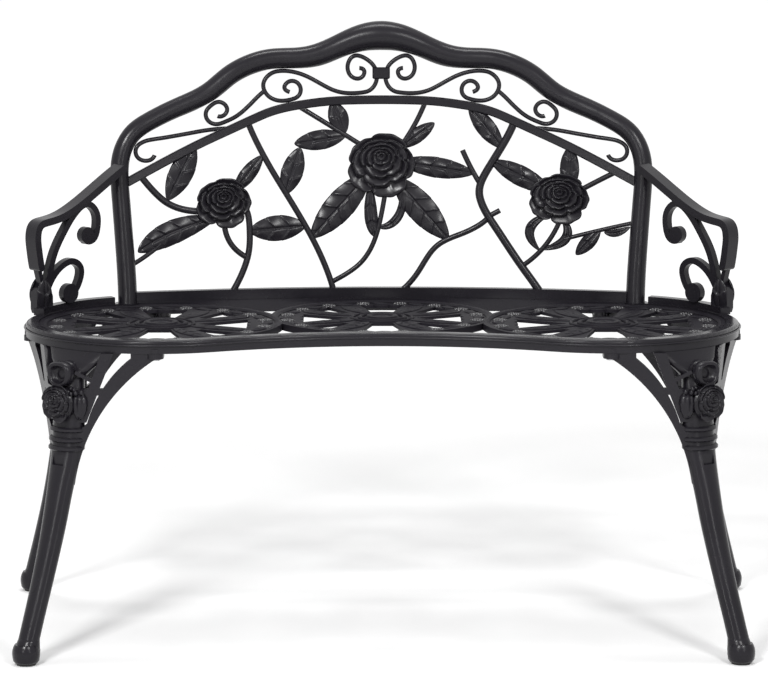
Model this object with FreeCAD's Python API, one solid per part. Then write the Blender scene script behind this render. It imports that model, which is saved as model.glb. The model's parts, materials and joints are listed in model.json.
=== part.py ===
import FreeCAD, Part
import math
import os

from FreeCAD import Placement, Rotation, Vector

os.makedirs("parts", exist_ok=True)

# Driving dimensions in millimetres. X runs along the bench, the sitter faces -Y, Z is up.
# Plan positions count from the line that joins the centres of the two rounded seat ends.
WIDTH = 1000.0
SEAT_TOP = 410.0
BACK_TOP = 785.0
END_RADIUS = 178.0
SEAT_FRONT = -115.0
SEAT_BACK = 217.0
RIM_WIDTH = 17.0
RIM_HEIGHT = 17.0
RIM_ROUND = 4.0
BACK_LEAN = 7.5

# Legs stand on rays from the seat end centres; angles count from the outward X axis to the back.
LEG_REACH = 284.0
FRONT_LEG_ANGLE = -54.5
BACK_LEG_ANGLE = 48.0
FRONT_PADS = (-5.0, -90.0)
BACK_PADS = (5.0, 88.0)
FRONT_CAPITAL = 96.0
BACK_CAPITAL = 72.0
FOOT_DIAMETER = 36.0
FOOT_BASE = 29.0
FOOT_HEIGHT = 27.0
GLIDE_DIAMETER = 24.0
GLIDE_HEIGHT = 3.0

# Back panel sections
POST_DIAMETER = 26.0
SHOULDER_DIAMETER = 25.0
HUMP_DIAMETER = 28.0
CREST_DIAMETER = 40.0
RAIL_SECTIONS = 20
ARCH_HEIGHT = 12.0
ARCH_DEPTH = 12.0
LOWER_RAIL_HEIGHT = 14.0
SCROLL_DIAMETER = 6.0
LEAF_BACK = 1.5
EDGE_EASE = 1.5
WELD_GAP = 0.3
ARC_TOLERANCE = 0.15

# Seat medallions
RING_WIDTH = 10.0
RING_HEIGHT = 9.0
RING_DROP = 2.0
RING_EASE = 2.0
PLATE_THICKNESS = 4.0
PLATE_DROP = 5.0
HUB_SHARE = 0.16
HUB_RISE = 4.0

# Arms
ARM_ANGLE = 24.0
ARM_OUTSET = 5.0
ARM_BAR_WIDTH = 22.0
ARM_BAR_THICKNESS = 10.0
ARM_PANEL_DEPTH = 10.0
ARM_SCROLL_WIDTH = 8.5
ARM_STRUT_WIDTH = 6.0
ARM_FOOT_WIDTH = 14.0
ARM_FOOT_HEIGHT = 9.0
ARM_FOOT_SPAN = (15.0, 65.0)
ARM_BOLT_ANGLES = (20.5, 62.5)

# Fasteners: thread, head across flats, head height, washer diameter and thickness
M6 = {"thread": 6.0, "flats": 10.0, "head": 4.0, "washer": 12.0, "plate": 1.2, "hole": 6.6}
M8 = {"thread": 8.0, "flats": 13.0, "head": 5.3, "washer": 16.0, "plate": 1.6, "hole": 9.0}
THREAD_PLAY = 0.1
PAD_THICKNESS = 7.0
PAD_WIDTH = 22.0
LUG_HEIGHT = 6.0
LUG_WIDTH = 20.0
LUG_INSET = 18.5
POST_BOLT_DEPTH = 22.0
BOSS_MARGIN = 3.0

# Sizes worked out from the driving dimensions
HUB_X = WIDTH / 2 - FOOT_DIAMETER / 2 - LEG_REACH * math.cos(math.radians(BACK_LEG_ANGLE))
FRONT_ARC = (HUB_X**2 + SEAT_FRONT**2 - END_RADIUS**2) / (2 * (END_RADIUS + SEAT_FRONT))
BACK_ARC = (HUB_X**2 + SEAT_BACK**2 - END_RADIUS**2) / (2 * (SEAT_BACK - END_RADIUS))
SEAT_UNDER = SEAT_TOP - RIM_HEIGHT
BAND_RADIUS = END_RADIUS - RIM_WIDTH / 2
LUG_RADIUS = BAND_RADIUS - LUG_INSET
POST_X = HUB_X + 0.3 * END_RADIUS
BACK_LINE = SEAT_BACK - RIM_WIDTH / 2
LEAN = math.tan(math.radians(BACK_LEAN))

# The panel is drawn as (across, above the seat) at this size and stretched to the real one.
DRAWN_POST_X = 345.0
DRAWN_RISE = 375.0
ACROSS = POST_X / DRAWN_POST_X
RISE = (BACK_TOP - SEAT_TOP) / DRAWN_RISE

# The legs are drawn at this height under the seat and stretched to the real one.
DRAWN_UNDER = 393.0
LIFT = SEAT_UNDER / DRAWN_UNDER


def mirrored(shape):
    return shape.mirror(Vector(0, 0, 0), Vector(1, 0, 0))


def around(radius, degrees, z=0.0):
    """A point on a ray from the left seat end's centre."""
    turn = math.radians(degrees)
    return Vector(-HUB_X - radius * math.cos(turn), radius * math.sin(turn), z)


def back_y(x):
    radius = BACK_ARC - RIM_WIDTH / 2
    return BACK_LINE - radius + math.sqrt(radius**2 - x**2)


def panel(across, above, out=0.0):
    """A point of the curved, leaning back; out counts towards the sitter."""
    x = across * ACROSS
    rise = above * RISE
    return Vector(x, back_y(x) + LEAN * rise - out, SEAT_TOP + rise)


def panel_frame(across, above):
    """Placement on the back: x across, y up along it, z out towards the sitter."""
    step = 0.5
    right = panel(across + step, above) - panel(across - step, above)
    up = panel(across, above + step) - panel(across, above - step)
    return Placement(panel(across, above), Rotation(right, up, Vector(), "XYZ"))


def spline(points):
    curve = Part.BSplineCurve()
    curve.interpolate(points)
    return curve


def circle_on(curve, parameter, diameter):
    """A round section whose seam always faces the sitter."""
    tangent = curve.tangent(parameter)[0]
    side = tangent.cross(Vector(0, -1, 0)).normalize() * (diameter / 2)
    out = side.cross(tangent)
    centre = curve.value(parameter)
    halves = [
        Part.Arc(centre + out, centre + side, centre - out),
        Part.Arc(centre - out, centre - side, centre + out),
    ]
    return Part.Wire([half.toShape() for half in halves])


def arc_wire(points):
    """A smooth route as a chain of tangent arcs."""
    return Part.Wire([arc.toShape() for arc in spline(points).toBiArcs(ARC_TOLERANCE)])


def tube(points, diameter):
    """A round rod along a smooth route."""
    curve = spline(points)
    start = curve.FirstParameter
    section = Part.Circle(curve.value(start), curve.tangent(start)[0], diameter / 2)
    return arc_wire(points).makePipeShell([Part.Wire(section.toShape())], True, False)


def bar(points, wide, deep, facing):
    """A flat bar with eased edges along a smooth curve; deep runs along facing."""
    edge = EDGE_EASE
    curve = spline(points)
    tangent = curve.tangent(curve.FirstParameter)[0]
    across = tangent.cross(facing).normalize()
    out = across.cross(tangent).normalize()
    w, d = wide / 2, deep / 2
    corners = [
        (w, d - edge), (w - edge, d), (edge - w, d), (-w, d - edge),
        (-w, edge - d), (edge - w, -d), (w - edge, -d), (w, edge - d),
    ]
    start = curve.value(curve.FirstParameter)
    outline = [start + across * a + out * b for a, b in corners]
    section = Part.makePolygon(outline + outline[:1])
    return arc_wire(points).makePipeShell([section], True, False)


def ribbon(points, width, depth, facing):
    """A flat scroll of one thickness with round ends, along a curve in a plane that faces facing."""
    curve = spline(points)
    first, last = curve.FirstParameter, curve.LastParameter
    count = 3 * len(points)
    left, right = [], []
    for k in range(count + 1):
        parameter = first + (last - first) * k / count
        side = facing.cross(curve.tangent(parameter)[0]).normalize()
        left.append(curve.value(parameter) + side * (width / 2))
        right.append(curve.value(parameter) - side * (width / 2))
    nose = curve.value(last) + curve.tangent(last)[0] * (width / 2)
    tail = curve.value(first) - curve.tangent(first)[0] * (width / 2)
    edges = [
        spline(left).toShape(), Part.Arc(left[-1], nose, right[-1]).toShape(),
        spline(right).toShape(), Part.Arc(right[0], tail, left[0]).toShape(),
    ]
    face = Part.Face(Part.Wire(Part.__sortEdges__(edges)))
    face.translate(facing * (-depth / 2))
    return face.extrude(facing * depth)


def resting(point, curve, distance):
    """The point moved off a curve until it lies at the given distance from it."""
    nearest = curve.value(curve.parameter(point))
    return nearest + (point - nearest).normalize() * distance


def seated(shape, neighbours):
    """Cuts a piece back to the faces of what carries it and keeps its main solid."""
    for other in neighbours:
        if other.BoundBox.intersect(shape.BoundBox):
            shape = shape.cut(other)
    return max(shape.Solids, key=lambda solid: solid.Volume)


def cylinder(diameter, base, height):
    return Part.makeCylinder(diameter / 2, height, base)


def prism(wire, height):
    return Part.Face(wire).extrude(Vector(0, 0, height))


# Seat
def seat_outline(inset, z):
    """Outline of tangent arcs: hollow front, round ends, bowed back."""
    hub = Vector(HUB_X, 0, z)
    front_centre = Vector(0, SEAT_FRONT - FRONT_ARC, z)
    back_centre = Vector(0, SEAT_BACK - BACK_ARC, z)
    front = front_centre + (hub - front_centre).normalize() * (FRONT_ARC + inset)
    back = back_centre + (hub - back_centre).normalize() * (BACK_ARC - inset)
    front_left = Vector(-front.x, front.y, z)
    back_left = Vector(-back.x, back.y, z)
    reach = HUB_X + END_RADIUS - inset
    arcs = [
        Part.Arc(front_left, Vector(0, SEAT_FRONT + inset, z), front),
        Part.Arc(front, Vector(reach, 0, z), back),
        Part.Arc(back, Vector(0, SEAT_BACK - inset, z), back_left),
        Part.Arc(back_left, Vector(-reach, 0, z), front_left),
    ]
    return Part.Wire([arc.toShape() for arc in arcs])


def slot_plate(inner, outer, degrees, width, z, height):
    """A plate with round ends along a ray from the left seat end's centre."""
    ray = (around(outer, degrees) - around(inner, degrees)).normalize()
    side = Vector(-ray.y, ray.x, 0) * (width / 2)
    a, b = around(inner, degrees, z), around(outer, degrees, z)
    tip = ray * (width / 2)
    edges = [
        Part.Arc(a + side, a - tip, a - side).toShape(),
        Part.makeLine(a - side, b - side),
        Part.Arc(b - side, b + tip, b + side).toShape(),
        Part.makeLine(b + side, a + side),
    ]
    return prism(Part.Wire(edges), height)


def leg_pad_angles():
    return FRONT_PADS + BACK_PADS


def post_foot():
    return Vector(-POST_X, back_y(POST_X), SEAT_UNDER)


def post_boss(play=0.0):
    """Round swelling of the rim under the left post."""
    return cylinder(POST_DIAMETER + 2 * BOSS_MARGIN + 2 * play, post_foot(), RIM_HEIGHT)


def seat_rim():
    rim = prism(seat_outline(0, SEAT_UNDER), RIM_HEIGHT)
    top = [edge for edge in rim.Edges if edge.BoundBox.ZMin > SEAT_TOP - 0.01]
    rim = rim.makeFillet(RIM_ROUND, top)
    rim = rim.cut(prism(seat_outline(RIM_WIDTH, SEAT_UNDER - 1), RIM_HEIGHT + 2))
    lugs = []
    holes = []
    for degrees in leg_pad_angles():
        lug = slot_plate(LUG_RADIUS, BAND_RADIUS, degrees, LUG_WIDTH, SEAT_UNDER, LUG_HEIGHT)
        below = around(LUG_RADIUS, degrees, SEAT_UNDER - 1)
        hole = cylinder(M6["thread"] + THREAD_PLAY, below, LUG_HEIGHT + 2)
        lugs += [lug, mirrored(lug)]
        holes += [hole, mirrored(hole)]
    boss = post_boss()
    lugs += [boss, mirrored(boss)]
    through = cylinder(M8["hole"], post_foot() - Vector(0, 0, 1), RIM_HEIGHT + 2)
    holes += [through, mirrored(through)]
    for degrees in ARM_BOLT_ANGLES:
        hole = cylinder(M6["hole"], around(BAND_RADIUS, degrees, SEAT_UNDER - 1), RIM_HEIGHT + 2)
        holes += [hole, mirrored(hole)]
    return rim.multiFuse(lugs).cut(holes)


# Medallion openings: near edge, far edge and half widths there as shares of its radius, and grapes
SIDE_GAP = (0.31, 0.74, 0.01, 0.25, 3)
FRONT_GAP = (0.31, 0.79, 0.09, 0.20, 3)
CORNER_GAP = (0.45, 0.81, 0.03, 0.12, 2)
GAPS = [SIDE_GAP, CORNER_GAP, FRONT_GAP, CORNER_GAP] * 2
GRAPE_BULGE = 0.22


def gap(direction, inner, outer, half_inner, half_outer, bumps, z):
    """An opening of the medallion; its outer edge waves round the grapes."""
    turn = math.radians(direction)
    ray = Vector(math.cos(turn), math.sin(turn), 0)
    side = Vector(-ray.y, ray.x, 0)

    def at(along, across):
        return ray * along + side * across + Vector(0, 0, z)

    edges = [
        Part.makeLine(at(outer, -half_outer), at(inner, -half_inner)),
        Part.makeLine(at(inner, -half_inner), at(inner, half_inner)),
        Part.makeLine(at(inner, half_inner), at(outer, half_outer)),
    ]
    step = 2 * half_outer / bumps
    for k in range(bumps):
        start = half_outer - k * step
        crest = at(outer - GRAPE_BULGE * step, start - step / 2)
        edges.append(Part.Arc(at(outer, start), crest, at(outer, start - step)).toShape())
    return prism(Part.Wire(edges), PLATE_THICKNESS + 2)


def medallion(radius):
    """Ring, pierced plate with eight leaf-shaped spokes, and a raised hub, around the origin."""
    top = SEAT_TOP - RING_DROP
    inner = radius - RING_WIDTH
    section = [
        Vector(inner, 0, top - RING_HEIGHT), Vector(radius, 0, top - RING_HEIGHT),
        Vector(radius, 0, top), Vector(inner + 2 * RING_EASE, 0, top), Vector(inner, 0, top - RING_EASE),
    ]
    ring = Part.Face(Part.makePolygon(section + section[:1])).revolve(Vector(), Vector(0, 0, 1), 360)
    plate_top = SEAT_TOP - PLATE_DROP
    under = plate_top - PLATE_THICKNESS
    plate = cylinder(2 * inner + RING_WIDTH, Vector(0, 0, under), PLATE_THICKNESS)
    gaps = []
    for k, (*shares, bumps) in enumerate(GAPS):
        size = [share * radius for share in shares]
        gaps.append(gap(360 * k / len(GAPS), *size, bumps, under - 1))
    hub_radius = HUB_SHARE * radius
    hub_top = plate_top + HUB_RISE
    hub_section = [
        Vector(0, 0, plate_top), Vector(hub_radius, 0, plate_top),
        Vector(0.85 * hub_radius, 0, hub_top), Vector(0.65 * hub_radius, 0, hub_top),
        Vector(0.5 * hub_radius, 0, plate_top + HUB_RISE / 2), Vector(0, 0, hub_top),
    ]
    hub = Part.Face(Part.makePolygon(hub_section + hub_section[:1])).revolve(Vector(), Vector(0, 0, 1), 360)
    return ring.multiFuse([plate.cut(gaps), hub])


def medallions():
    """Two end medallions and a middle one that meet on the chords where their circles cross."""
    end_radius = END_RADIUS - RIM_WIDTH - WELD_GAP
    middle_radius = (SEAT_BACK - SEAT_FRONT) / 2 - RIM_WIDTH - WELD_GAP
    left_at = Vector(-HUB_X, 0, 0)
    middle_at = Vector(0, (SEAT_BACK + SEAT_FRONT) / 2, 0)
    apart = middle_at - left_at
    distance = apart.Length
    chord = (distance**2 + end_radius**2 - middle_radius**2) / (2 * distance)
    ray = apart.normalize()
    frame = Placement(left_at + ray * chord, Rotation(Vector(1, 0, 0), ray))
    size = 2 * WIDTH
    beyond = Part.makeBox(size, size, size, Vector(0, -size / 2, -size / 2))
    beyond.Placement = frame.multiply(beyond.Placement)
    before = Part.makeBox(size, size, size, Vector(-size, -size / 2, -size / 2))
    before.Placement = frame.multiply(before.Placement)
    left = medallion(end_radius)
    left.translate(left_at)
    left = left.cut([beyond, post_boss(WELD_GAP)])
    middle = medallion(middle_radius)
    middle.translate(middle_at)
    middle = middle.cut([before, mirrored(before)])
    return left, middle, mirrored(left)


# Back
RAIL_LINE = [
    (-345, -14), (-347, 55), (-354, 150), (-354, 190), (-342, 222), (-309, 246), (-262, 267),
    (-240, 277), (-213, 298), (-179, 317), (-140, 325), (-101, 326), (-64, 338), (-30, 351),
]
RAIL_TOP = (0, 355)
ARCH_LINE = [(-350, 159), (-300, 185), (-256, 207), (-182, 240), (-147, 254), (-114, 261), (-62, 267)]
ARCH_TOP = (0, 268)
CREST_SCROLL = [
    (-125, 279), (-132, 287), (-123, 294), (-111, 287), (-112, 275), (-122, 267), (-153, 273), (-161, 289),
    (-151, 304), (-132, 309), (-106, 302), (-81, 289), (-62, 280), (-30, 275), (-14, 282), (-6, 297),
    (-9, 312), (-20, 323), (-37, 327), (-46, 312), (-38, 298), (-27, 298), (-23, 306), (-30, 311),
]
SHOULDER_SCROLL = [
    (-223, 248), (-216, 248), (-210, 256), (-214, 264), (-223, 267), (-232, 263), (-239, 252), (-236, 242),
    (-225, 237), (-213, 240), (-198, 247), (-181, 261), (-158, 282),
]
HOOK_SCROLL = [
    (-308, 197), (-312, 192), (-321, 190), (-331, 195), (-333, 208), (-326, 214), (-305, 219), (-259, 226),
    (-228, 230), (-209, 231),
]
COLLAR = (24.0, 16.0, 11.0)
COLLAR_ABOVE = 304

# Vine: (diameter, route) of each stem, from root to tip
STEMS = {
    "left": [
        (9.5, [(-330, 173), (-310, 149), (-291, 132), (-270, 123), (-226, 122)]),
        (9.0, [(-207, 4), (-190, 35), (-181, 64), (-180, 97), (-184, 119), (-202, 132)]),
        (8.0, [(-180, 54), (-206, 76), (-214, 116)]),
        (6.5, [(-345, 47), (-321, 61), (-300, 77)]),
    ],
    "middle": [
        (8.5, [(-64, 4), (-76, 41), (-108, 105), (-152, 178), (-184, 244)]),
        (7.0, [(-74, 18), (-45, 34), (-28, 47), (-5, 91), (9, 160)]),
        (7.0, [(-112, 259), (-68, 232), (-12, 197)]),
        (7.0, [(62, 269), (45, 233), (15, 190)]),
    ],
    "right": [
        (11.0, [(220, 4), (192, 43), (154, 99), (134, 147), (147, 177), (166, 208), (183, 244)]),
        (8.0, [(18, 4), (52, 37), (76, 70), (113, 88), (149, 112)]),
        (7.5, [(149, 112), (162, 119)]),
        (7.5, [(136, 153), (122, 177), (111, 200)]),
        (7.5, [(326, 178), (301, 165), (258, 141)]),
        (7.0, [(189, 42), (223, 72), (248, 120)]),
        (6.0, [(349, 108), (301, 96), (250, 82)]),
    ],
}
# Leaves: (width, midrib from stalk to tip)
LEAVES = {
    "left": [
        (33, [(-291, 136), (-254, 209)]),
        (33, [(-226, 110), (-286, 92), (-331, 67)]),
        (21, [(-202, 144), (-162, 194)]),
    ],
    "middle": [
        (35, [(-103, 98), (-181, 92)]),
        (30, [(-132, 140), (-111, 204)]),
        (27, [(-49, 219), (-119, 209)]),
        (27, [(-50, 222), (-67, 266)]),
        (40, [(-16, 169), (-96, 81)]),
        (18, [(-15, 158), (-14, 110), (-8, 82)]),
        (39, [(16, 164), (92, 79)]),
        (28, [(24, 184), (127, 169)]),
        (20, [(26, 203), (73, 237)]),
        (12, [(23, 158), (28, 122), (14, 100), (-6, 97)]),
    ],
    "right": [
        (26, [(166, 203), (120, 260)]),
        (28, [(232, 146), (150, 186)]),
        (26, [(256, 146), (257, 208)]),
        (13, [(232, 116), (203, 94), (217, 65)]),
        (13, [(244, 114), (252, 84), (218, 67)]),
        (19, [(298, 96), (265, 61)]),
        (10, [(303, 93), (319, 92), (338, 101)]),
    ],
}
# Leaf outline: (share of the length, share of the width)
LEAF_OUTLINE = ((0, 0.12), (0.14, 0.62), (0.34, 0.94), (0.55, 1.0), (0.76, 0.82), (0.91, 0.45), (1.0, 0.06))
# Roses: (across, above the seat, petal reach)
ROSES = {"left": (-215, 130, 37.0), "middle": (0, 179, 45.0), "right": (242, 136, 39.0)}
CALYX_SHARE = 0.62
CALYX_HALF = 6.0
# Whorls of petals: (count, inner reach, outer reach, lip height, span, turn), reaches as shares
WHORLS = [
    (6, 0.42, 1.00, 7, 70, 0), (5, 0.30, 0.76, 13, 80, 25),
    (4, 0.20, 0.50, 17, 96, 10), (3, 0.10, 0.28, 19, 118, 40),
]
PETAL_WALL = 2.5
ROSE_BUD = (0.12, 0.05, 20.0)


def both_halves(half, top):
    return half + [top] + [(-across, above) for across, above in reversed(half)]


def on_panel(route):
    return [panel(across, above) for across, above in route]


def rail_curve():
    return spline(on_panel(both_halves(RAIL_LINE, RAIL_TOP)))


def rail_diameter(curve, parameter):
    """Thickness of the bent rail: slim shoulders, a swelling crest."""
    half = [
        (RAIL_LINE[0], POST_DIAMETER), (RAIL_LINE[3], SHOULDER_DIAMETER),
        (RAIL_LINE[10], HUMP_DIAMETER), (RAIL_LINE[12], 0.8 * CREST_DIAMETER), (RAIL_TOP, CREST_DIAMETER),
    ]
    stations = [(curve.parameter(panel(*point)), diameter) for point, diameter in half]
    middle = stations[-1][0]
    reached = middle - abs(parameter - middle)
    diameter = POST_DIAMETER
    for (start, thin), (end, thick) in zip(stations, stations[1:]):
        blend = min(max((reached - start) / (end - start), 0), 1)
        diameter += (thick - thin) * blend**2 * (3 - 2 * blend)
    return diameter


def bent_rail(play=0.0):
    """Posts and top rail in one bent bar that swells towards the crest."""
    curve = rail_curve()
    first, last = curve.FirstParameter, curve.LastParameter
    sections = []
    for k in range(2 * RAIL_SECTIONS + 1):
        parameter = first + (last - first) * k / (2 * RAIL_SECTIONS)
        sections.append(circle_on(curve, parameter, rail_diameter(curve, parameter) + 2 * play))
    return Part.makeLoft(sections, True, False)


def back_frame():
    """The bent rail with its posts cut level on the seat and drilled for their bolts."""
    below = Part.makeBox(2 * WIDTH, WIDTH, SEAT_TOP, Vector(-WIDTH, -WIDTH / 2, 0))
    thread = cylinder(M8["thread"] + THREAD_PLAY, post_foot(), RIM_HEIGHT + POST_BOLT_DEPTH + 1)
    return bent_rail().cut([below, thread, mirrored(thread)])


def lower_rail():
    """Bar on the seat's back edge, bowed like it."""
    radius = BACK_ARC - RIM_WIDTH / 2
    centre = Vector(0, BACK_LINE - radius, SEAT_TOP)
    half = ARCH_DEPTH / 2
    angle = math.degrees(math.asin(POST_X / radius))
    ring = Part.makeCylinder(radius + half, LOWER_RAIL_HEIGHT, centre, Vector(0, 0, 1), 2 * angle)
    ring = ring.cut(cylinder(2 * (radius - half), centre, LOWER_RAIL_HEIGHT))
    ring.rotate(centre, Vector(0, 0, 1), 90 - angle)
    return ring


def petal(reach, inner, outer, low, high, span, turn):
    """A cupped petal: part of a cone's wall with a rounded free edge."""
    profile = [
        Vector(inner, 0, low), Vector(inner + PETAL_WALL, 0, low),
        Vector(outer, 0, high - PETAL_WALL), Vector(outer - PETAL_WALL, 0, high),
    ]
    shell = Part.Face(Part.makePolygon(profile + profile[:1])).revolve(Vector(), Vector(0, 0, 1), span)
    shell.rotate(Vector(), Vector(0, 0, 1), -span / 2)
    slant = Vector(outer - inner, 0, high - low)
    axis = Vector(-slant.z, 0, slant.x).normalize()
    size = max(outer * math.sin(math.radians(span / 2)), slant.Length / 2)
    heart = Vector(outer, 0, high) - slant.normalize() * size
    rounding = Part.makeCylinder(1.02 * size, 4 * reach, heart - axis * 2 * reach, axis)
    shell = shell.common(rounding)
    shell.rotate(Vector(), Vector(0, 0, 1), turn)
    return shell


def rose(reach):
    """Open rose around the Z axis: calyx, three whorls of petals and a bud."""
    low = CALYX_HALF
    calyx = cylinder(2 * CALYX_SHARE * reach, Vector(0, 0, -low), 2 * low)
    petals = []
    for count, inner, outer, lip, span, turn in WHORLS:
        for k in range(count):
            place = turn + 360 * k / count
            petals.append(petal(reach, inner * reach, outer * reach, low, low + lip, span, place))
    wide, narrow, tall = ROSE_BUD
    bud = Part.makeCone(wide * reach, narrow * reach, tall, Vector(0, 0, low))
    return calyx.multiFuse(petals + [bud])


def leaf(width, midrib):
    """Leaf blade with a flat back, two swelling halves and a sunk midrib."""
    curve = spline(on_panel(midrib))
    start, end = curve.FirstParameter, curve.LastParameter
    sections = []
    for share, full in LEAF_OUTLINE:
        parameter = start + share * (end - start)
        centre = curve.value(parameter)
        along = curve.tangent(parameter)[0]
        radius = BACK_ARC - RIM_WIDTH / 2
        out = Vector(-centre.x / radius, -1, LEAN).normalize()
        side = along.cross(out).normalize()
        half = full * width / 2
        swell = 1.2 + 2.8 * full
        outline = [
            (-half, -LEAF_BACK), (half, -LEAF_BACK), (half, 0.6), (0.5 * half, swell),
            (0, 0.6 + 0.3 * full), (-0.5 * half, swell), (-half, 0.6),
        ]
        points = [centre + side * a + out * b for a, b in outline]
        sections.append(Part.makePolygon(points + points[:1]))
    return Part.makeLoft(sections, True, False)


def scroll(route, contacts):
    """A round scroll whose listed points rest against other bars."""
    points = on_panel(route)
    for index, curve, distance in contacts:
        points[index] = resting(points[index], curve, distance + SCROLL_DIAMETER / 2 + 1.5 * WELD_GAP)
    return points


def scrolls():
    """Routes of the left half's three scrolls: crest, hook and shoulder."""
    rail = rail_curve()
    arch = spline(on_panel(both_halves(ARCH_LINE, ARCH_TOP)))
    over = ARCH_HEIGHT / 2

    def under(point):
        return rail_diameter(rail, rail.parameter(panel(*point))) / 2

    crest = scroll(CREST_SCROLL, [
        (5, arch, over), (9, rail, under(CREST_SCROLL[9])),
        (13, arch, over), (18, rail, under(CREST_SCROLL[18])),
    ])
    hook = scroll(HOOK_SCROLL, [(4, rail, under(HOOK_SCROLL[4]))])
    beside = SCROLL_DIAMETER / 2 + WELD_GAP
    shoulder = scroll(SHOULDER_SCROLL, [
        (5, rail, under(SHOULDER_SCROLL[5])), (8, spline(hook), beside),
    ])
    return crest, hook, shoulder


def arch_rail(play=0.0):
    """Flat arched bar between the posts."""
    route = on_panel(both_halves(ARCH_LINE, ARCH_TOP))
    return bar(route, ARCH_HEIGHT + 2 * play, ARCH_DEPTH + 2 * play, Vector(0, -1, 0))


def rod(route, diameter, play=0.0):
    return tube(on_panel(route), diameter + 2 * play)


def back_panel():
    """All pieces of the back, each cut to butt against those that carry it."""
    pieces = {}
    posts = bent_rail(WELD_GAP)
    pieces["back_frame"] = [back_frame()]
    pieces["arch_rail"] = [seated(arch_rail(), [posts])]
    rail = seated(lower_rail(), [posts])
    pieces["lower_rail"] = [rail]
    routes = scrolls()
    crest, hook, shoulder = [tube(route, SCROLL_DIAMETER) for route in routes]
    wide_crest = tube(routes[0], SCROLL_DIAMETER + 2 * WELD_GAP)
    hook = seated(hook, [arch_rail(WELD_GAP)])
    left = [crest, hook, seated(shoulder, [wide_crest])]
    pieces["scrolls_left"] = left
    pieces["scrolls_right"] = [mirrored(curl) for curl in left]
    wide, tall, deep = COLLAR
    collar = Part.makeBox(wide, tall, deep, Vector(-wide / 2, -tall / 2, -deep / 2))
    collar = collar.makeChamfer(EDGE_EASE, collar.Edges)
    collar.Placement = panel_frame(0, COLLAR_ABOVE)
    pieces["scroll_collar"] = [seated(collar, [wide_crest, mirrored(wide_crest)])]
    carriers = [posts, arch_rail(WELD_GAP), rail]
    for name, (across, above, reach) in ROSES.items():
        flower = rose(reach)
        flower.Placement = panel_frame(across, above)
        pieces["rose_" + name] = [flower]
        around_calyx = 2 * (CALYX_SHARE * reach + WELD_GAP)
        calyx = cylinder(around_calyx, Vector(0, 0, -CALYX_HALF), 2 * CALYX_HALF)
        calyx.Placement = panel_frame(across, above)
        carriers.append(calyx)
    for group, stems in STEMS.items():
        pieces["vine_stems_" + group] = []
        for diameter, route in stems:
            pieces["vine_stems_" + group].append(seated(rod(route, diameter), carriers))
            carriers.append(rod(route, diameter, WELD_GAP))
    for group, leaves in LEAVES.items():
        pieces["leaves_" + group] = []
        for width, midrib in leaves:
            blade = seated(leaf(width, midrib), carriers)
            carriers.append(blade)
            pieces["leaves_" + group].append(blade)
    return pieces


# Arms, drawn as (from the post, above the seat) in the upright plane from post to seat end
ARM_BAR_LINE = [
    (6, 184), (31, 170), (61, 152), (88, 137), (115, 126), (137, 122), (150, 118), (155, 106),
    (154, 86), (152, 72), (150, 62),
]
ARM_STRUT = [(151, 66), (142, 30)]
ARM_BIG_SCROLL = [
    (139, 26), (131, 54), (122, 80), (106, 106), (85, 131), (66, 140), (51, 128), (49, 109),
    (56, 92), (68, 90),
]
ARM_SMALL_SCROLL = [(140, 20), (123, 50), (107, 62), (93, 65), (79, 55), (80, 40), (90, 24)]
ARM_BIG_CURL = (67, 98, 11)
ARM_SMALL_CURL = (97, 22, 13)
ARM_BLOCK = [(129, 0), (154, 0), (156, 6), (156, 28), (151, 34), (144, 38), (135, 38), (129, 22)]
DRAWN_ARM_RUN = 137.0


def arm():
    """Left arm: flat top bar rolled down in front, two scrolls, and a foot on the seat rim."""
    post = Vector(-POST_X, back_y(POST_X), SEAT_TOP)
    base = around(BAND_RADIUS, ARM_ANGLE, SEAT_TOP)
    run = base - post
    stretch = run.Length / DRAWN_ARM_RUN
    ray = Vector(run).normalize()
    side = Vector(-ray.y, ray.x, 0)
    origin = post - side * ARM_OUTSET

    def at(along, above, off=0.0):
        return origin + ray * (along * stretch) + side * off + Vector(0, 0, above)

    def line(route):
        return [at(*point) for point in route]

    top = ribbon(line(ARM_BAR_LINE), ARM_BAR_THICKNESS, ARM_BAR_WIDTH, side)
    pieces = [ribbon(line(ARM_STRUT), ARM_STRUT_WIDTH, ARM_PANEL_DEPTH, side)]
    for route in (ARM_BIG_SCROLL, ARM_SMALL_SCROLL):
        pieces.append(ribbon(line(route), ARM_SCROLL_WIDTH, ARM_PANEL_DEPTH, side))
    for along, above, radius in (ARM_BIG_CURL, ARM_SMALL_CURL):
        base_point = at(along, above, -ARM_PANEL_DEPTH / 2)
        pieces.append(Part.makeCylinder(radius, ARM_PANEL_DEPTH, base_point, side))
    corners = [at(*point, -ARM_FOOT_WIDTH / 2) for point in ARM_BLOCK]
    pieces.append(Part.Face(Part.makePolygon(corners + corners[:1])).extrude(side * ARM_FOOT_WIDTH))
    centre = Vector(-HUB_X, 0, SEAT_TOP)
    first, last = ARM_FOOT_SPAN
    outer = BAND_RADIUS + ARM_FOOT_WIDTH / 2 + 1
    foot = Part.makeCylinder(outer, ARM_FOOT_HEIGHT, centre, Vector(0, 0, 1), last - first)
    foot = foot.cut(cylinder(2 * (outer - ARM_FOOT_WIDTH), centre, ARM_FOOT_HEIGHT))
    foot.rotate(centre, Vector(0, 0, 1), 180 - last)
    whole = top.multiFuse(pieces + [foot])
    below = Part.makeBox(2 * WIDTH, 2 * WIDTH, SEAT_TOP, Vector(-2 * WIDTH, -WIDTH, 0))
    holes = []
    for degrees in ARM_BOLT_ANGLES:
        base_point = around(BAND_RADIUS, degrees, SEAT_TOP - 1)
        holes.append(cylinder(M6["thread"] + THREAD_PLAY, base_point, ARM_FOOT_HEIGHT))
    return seated(whole, [bent_rail(WELD_GAP), below] + holes)


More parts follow.
